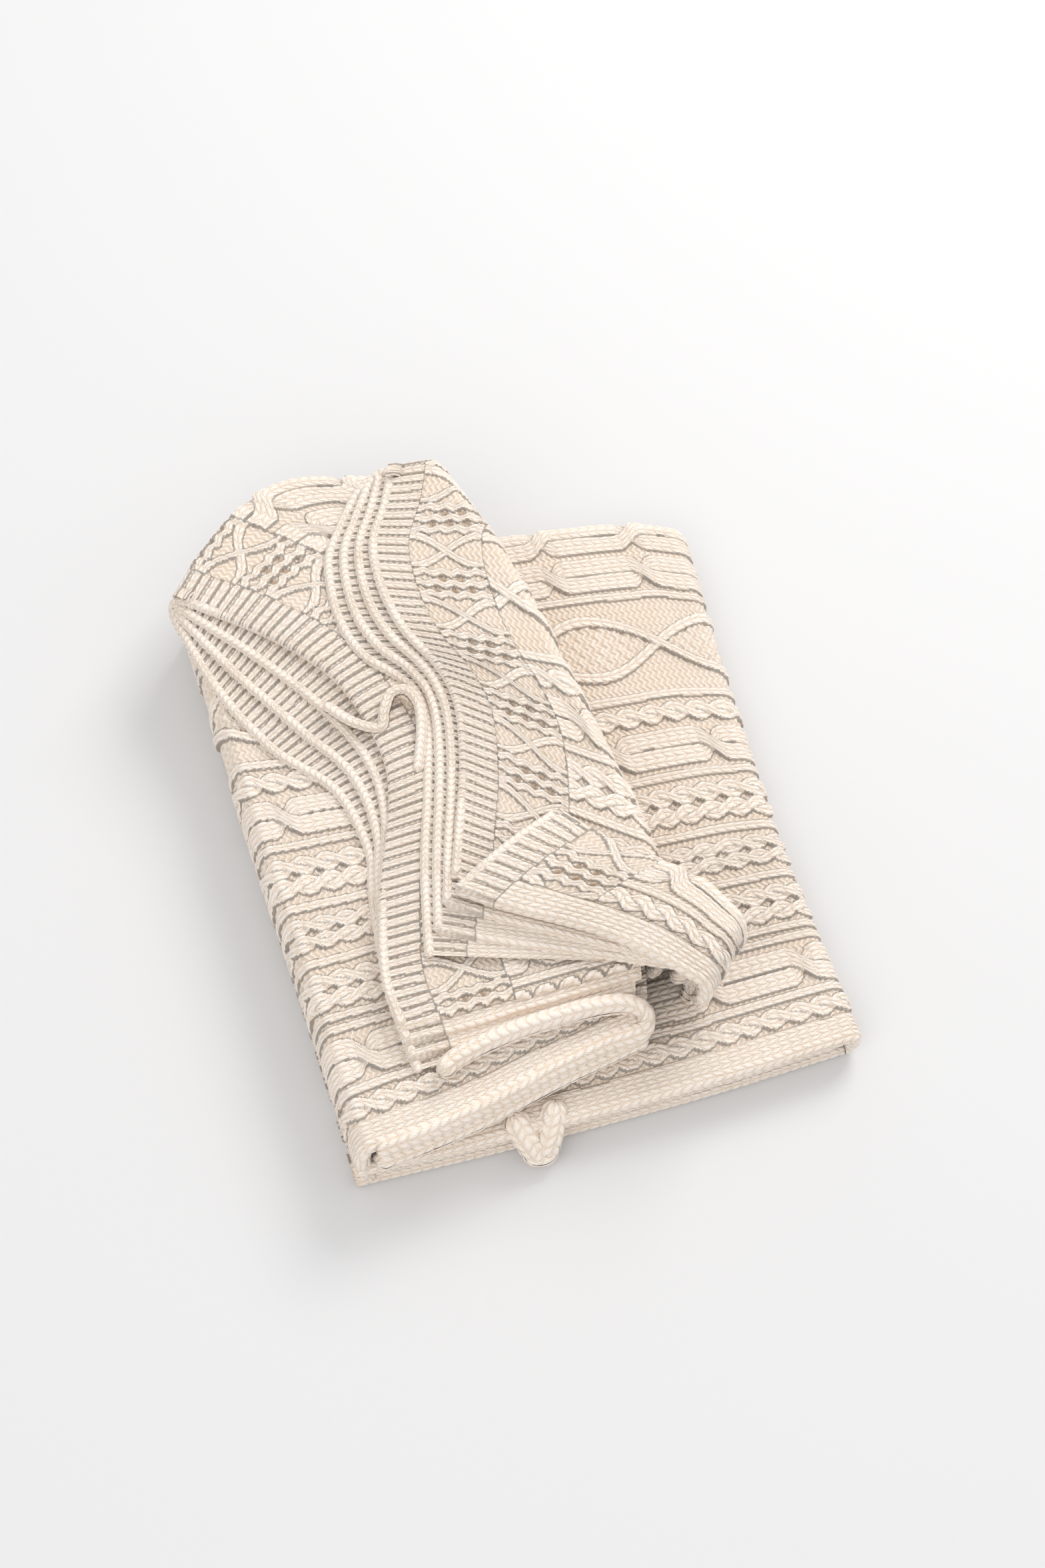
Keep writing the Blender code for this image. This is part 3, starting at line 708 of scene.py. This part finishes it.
def end_ply(name, number, rib, turn, top, near, far, swell):
    """One ply of an end, number 1 highest, from its ribbed border to the end turn."""
    whole, outer = number == 1, name == "outer_end"
    low = turn[0, 1] + 0.003 * number if outer else max(rib[0, 1], turn[0, 1] + 0.001)
    high = turn[-1, 1] if outer else min(turn[-1, 1], rib[-1, 1] + 0.05)
    side = clipped(turn, low, high)
    side = moved(side, LEAF_MARGIN + 0.0035 * (number - 1))
    near_line = np.array([rib[0], side[0]])
    beyond = spread_line[spread_line[:, 0] > rib[-1, 0] + 0.01]
    far_line = np.array([rib[-1], side[-1]]) if outer else np.vstack([rib[-1:], beyond, side[-1:]])
    rows, columns = counts(rib, side, near_line, near_line, STITCH_STEP)
    wide = np.linalg.norm(side[0] - rib[0])
    fine = min(FINE_WIDTH / wide, 1)
    shares = np.linspace(0, 1, columns)
    if not whole:
        coarse = np.linspace(fine, 1, max(4, int(wide * (1 - fine) / (1.8 * MM))))
        shares = np.concatenate([np.linspace(0, fine, int(FINE_WIDTH / STITCH_STEP)), coarse[1:]])
    t, s = np.linspace(0, 1, rows)[:, None, None], shares[None, :, None]
    flat = (1 - s) * along(rib, t[:, 0, 0])[:, None] + s * along(side, t[:, 0, 0])[:, None]
    to_near = along(near_line, shares)[None] - flat[:1]
    to_far = along(far_line, shares)[None] - flat[-1:]
    flat = flat + (1 - t) ** 3 * to_near + t**3 * to_far
    level = np.full(flat.shape[:2], top - RELIEF - (number - 1) * PLY)
    if whole:
        bulge = wander(flat[..., 0], flat[..., 1], 0.055, number + 20) * 1.3 * MM
        level += bulge + swell * np.exp(-((s[..., 0] / 0.22) ** 2)) * np.sin(np.pi * t[..., 0]) ** 0.5
    columns = len(shares)
    parts = [("", slice(0, columns))]
    if whole:
        parts = [("", slice(0, columns - 4)), ("_turn", slice(columns - 5, columns))]
    first_w = max(NEAR_W, FAR_W - length_of(rib) / MM) if whole else NEAR_W
    for suffix, kept in parts:
        part, turned = flat[:, kept], suffix == "_turn"
        fold = (14.0 * MM, math.pi, 0.0, (top - RELIEF - TURN_LOW[name]) / 2) if turned else None
        place, *steps = rolled(part, level[:, kept], 1, near, far, None if turned else RIM, fold, STITCH_STEP)
        w, e = measures(part, *steps, first_w, FAR_W, reach(flat, kept.start) + 1.0)
        if turned:
            made = cloth(f"{name}_turn", place, w, e - RIM_COURSES, None, (f"{name}_middle_fold",), e=e)
            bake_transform(made)
        else:
            nodes = [f"{name}_ply_{number}", f"{name}_rib_{number}"]
            cloth(f"{name}_{number}", place, w, e - RIM_COURSES, name, nodes, e=e)


inner_high, inner_low = smooth(INNER_HIGH_RIB), smooth(INNER_LOW_RIB)
outer_high, outer_low = smooth(OUTER_HIGH_RIB), smooth(OUTER_LOW_RIB)
spread_line = smooth(SPREAD_FOLD)
for number in (4, 3, 2, 1):
    near = (PLY_HEM, PLY_HEM, PLY_FOLD, None)[number - 1]
    far = (END_FOLD, END_FOLD_INSIDE, None, None)[number - 1]
    rib = between(inner_low, inner_high, (4 - number) / 3)
    end_ply("inner_end", number, rib, inner_turn, INNER_TOP, near, far, 3.0 * MM)
    rib = between(outer_low, outer_high, (4 - number) / 3)
    end_ply("outer_end", number, rib, outer_turn, OUTER_TOP, near, far, 1.5 * MM)


def rim(name, upper, z_upper, lower, z_lower, body):
    """The cast-on edge: a thick braid, which runs round the far fold from a ply to its pair."""
    out = (upper[-1] - upper[-12]) + (lower[-1] - lower[-12])
    out = np.append(out / np.linalg.norm(out), 0) * 7.0 * MM
    high, low = lifted(upper, z_upper), lifted(lower, z_lower)[::-1]
    middle = (high[-1] + low[0]) / 2 + out
    rounded = [(high[-1] + middle) / 2 + 0.3 * out, middle, (low[0] + middle) / 2 + 0.3 * out]
    path = np.vstack([high, rounded, low])
    path = along(path, np.linspace(0, 1, 500))
    for _ in range(6):
        path[1:-1] = (path[:-2] + 2 * path[1:-1] + path[2:]) / 4
    path[:, 2] += 0.5 * MM * wander(path[:, 0], path[:, 1], 0.02, 77)
    ridge(name, path, BRAID, body, slot="rib_knit", depth=0.62, finer=1.5)


for body, high, low, top in (("inner_end", inner_high, inner_low, INNER_TOP),
                             ("outer_end", outer_high, outer_low, OUTER_TOP)):
    ribs = [between(low, high, (4 - number) / 3) for number in (1, 2, 3, 4)]
    levels = [top - RELIEF - (number - 1) * PLY for number in (1, 2, 3, 4)]
    rim(f"{body}_rim", ribs[0], levels[0] - 1 * MM, ribs[3], levels[3] - 1 * MM, body)
    rim(f"{body}_rim_inside", ribs[1], levels[1] - 1 * MM, ribs[2], levels[2] - 1 * MM, body)

# Half way along, the inner end's edge stands up in a small curl.
curl = loose([(-108, 78, 83), (-92, 58, 84), (-76, 48, 86), (-70, 58, 90), (-62, 69, 92), (-51, 68, 92),
              (-46, 54, 91), (-50, 34, 88), (-60, 8, 84)], 160)
ridge("inner_end_curl", curl, 3.0 * MM, "inner_end", slot="rib_knit", depth=0.62, finer=1.5)

# Where the outer turn opens, on the near side and the far one, show the edges of the plies
# that run round in it, one inside the other.
for side, (turn_x, turn_y), inside in (("near", outer_turn[0], 1), ("far", outer_turn[-1] - (0, 0.004), -1)):
    for k in range(5):
        low, high = BASE_TOP + (3.5 + 5.0 * k) * MM, OUTER_TOP - (6.0 + 4.4 * k) * MM
        angles = np.linspace(-0.62 * np.pi, 0.56 * np.pi, 60)
        bow = np.column_stack([turn_x - LEAF_MARGIN + (11.0 - 3.9 * k) * MM * np.cos(angles) - (k > 3) * 4 * MM,
                               turn_y + inside * ((3.0 + 1.5 * k) * MM - 4.0 * MM * np.sin(angles)),
                               (low + high) / 2 + (high - low) / 2 * np.sin(angles)])
        nodes = ("outer_end_hem",) if (side, k) == ("near", 1) else ()
        edge = ridge(f"outer_turn_{side}_edge_{k + 1}", bow, 3.4 * MM, None, nodes)
        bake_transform(edge)

# ---------------------------------------------------------------------------------------------
# Corner: the outer end's near corner, turned up over its highest ply, with its hem along the
# near side, its ribbed border at the tip and a soft fold where it turns.
# ---------------------------------------------------------------------------------------------
flap_hem, flap_fold = smooth(FLAP_HEM), smooth(FLAP_FOLD)[::-1]
FLAP_ROLL = (3.6 * MM, 4.3, 0.0)
FLAP_BEND = (5.0 * MM, 3.0, 0.0, 4.6 * MM)
FLAP_DROP = (11.0 * MM, 2.5, 0.0, 20.0 * MM)
flap_tip = np.linspace(flap_hem[0], flap_fold[0], 40)
flap_end = np.linspace(flap_hem[-1], flap_fold[-1], 40)
flap_rows, flap_columns = counts(flap_tip, flap_end, flap_hem, flap_fold, STITCH_STEP)
flap_flat = spread(flap_tip, flap_end, flap_hem, flap_fold, flap_rows, flap_columns)
flap_t = np.linspace(0, 1, flap_rows)[:, None]
flap_wide = np.linalg.norm(np.diff(flap_flat, axis=0), axis=2).sum(axis=0).mean() / MM
flap_level = OUTER_TOP + 6.0 * MM + 6.0 * MM * np.sin(np.pi * flap_t)
flap_level = flap_level + 0.8 * MM * wander(flap_flat[..., 0], flap_flat[..., 1], 0.04, 31)
tip_level = np.interp(np.linspace(0, 1, 40), flap_t[:, 0], flap_level[:, 0]) - 1.5 * MM
ridge("corner_rim", lifted(flap_tip, tip_level), BRAID, "flap", slot="rib_knit", depth=0.62, finer=1.5)
for name, rows in (("corner", slice(0, flap_rows - 4)), ("corner_fold", slice(flap_rows - 5, flap_rows))):
    part, fold = flap_flat[rows], name == "corner_fold"
    near, far = (None, FLAP_BEND) if fold else (FLAP_ROLL, None)
    place, *steps = rolled(part, flap_level[rows], 1, near, far, RIM, FLAP_DROP, STITCH_STEP)
    w_near, w_far = (NEAR_W + flap_wide * row / (flap_rows - 1) for row in (rows.start, rows.stop - 1))
    w, e = measures(part, *steps, w_near, w_far)
    body, nodes = (None, ()) if fold else ("flap", ("corner_flap", "flap_rib", "flap_hem"))
    made = cloth(name, place, w, e - RIM_COURSES, body, nodes, e=e)
    if fold:
        top = OUTER_TOP + 6.5 * MM
        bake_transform(made)

# ---------------------------------------------------------------------------------------------
# Where it is shown: on a plain white floor, in the soft light of a large window above and to
# the right, seen from the front and well above.
# ---------------------------------------------------------------------------------------------
floor_mesh = bpy.data.meshes.new("floor")
floor_mesh.from_pydata([(-6, -6, 0), (6, -6, 0), (6, 6, 0), (-6, 6, 0)], [], [(0, 1, 2, 3)])
floor = bpy.data.objects.new("floor", floor_mesh)
bpy.context.scene.collection.objects.link(floor)
paper = bpy.data.materials.new("white_paper")
paper.use_nodes = True
surface = paper.node_tree.nodes["Principled BSDF"]
surface.inputs["Base Color"].default_value = (0.69, 0.69, 0.70, 1)
surface.inputs["Roughness"].default_value = 0.95
floor_mesh.materials.append(paper)


def lamp(name, place, aim, size, power, colour):
    """A square, soft light at a place, turned towards its aim."""
    made = bpy.data.lights.new(name, "AREA")
    made.size, made.energy, made.color = size, power, colour
    held = bpy.data.objects.new(name, made)
    held.location = place
    held.rotation_euler = (Vector(aim) - Vector(place)).to_track_quat("-Z", "Y").to_euler()
    bpy.context.scene.collection.objects.link(held)


lamp("window", (1.5, 1.3, 1.9), (0.0, 0.0, 0.0), 1.3, 39.0, (1.0, 0.985, 0.96))
lamp("fill", (-1.6, -1.6, 2.4), (0.0, 0.0, 0.0), 2.6, 22.0, (1.0, 0.99, 0.98))
sky = bpy.data.worlds.new("studio")
sky.use_nodes = True
sky.node_tree.nodes["Background"].inputs["Color"].default_value = (1.0, 0.995, 0.985, 1)
sky.node_tree.nodes["Background"].inputs["Strength"].default_value = 0.86
bpy.context.scene.world = sky
bpy.context.scene.view_settings.view_transform = "Standard"

camera = bpy.data.objects.new("camera", bpy.data.cameras.new("camera"))
camera.data.sensor_fit, camera.data.sensor_height, camera.data.lens = "VERTICAL", 36.0, 64.96
camera.location = (-0.2506, -0.8942, 1.7959)
camera.rotation_euler = (Vector((0.0145, 0.0065, 0.030)) - camera.location).to_track_quat("-Z", "Y").to_euler()
bpy.context.scene.collection.objects.link(camera)
bpy.context.scene.camera = camera
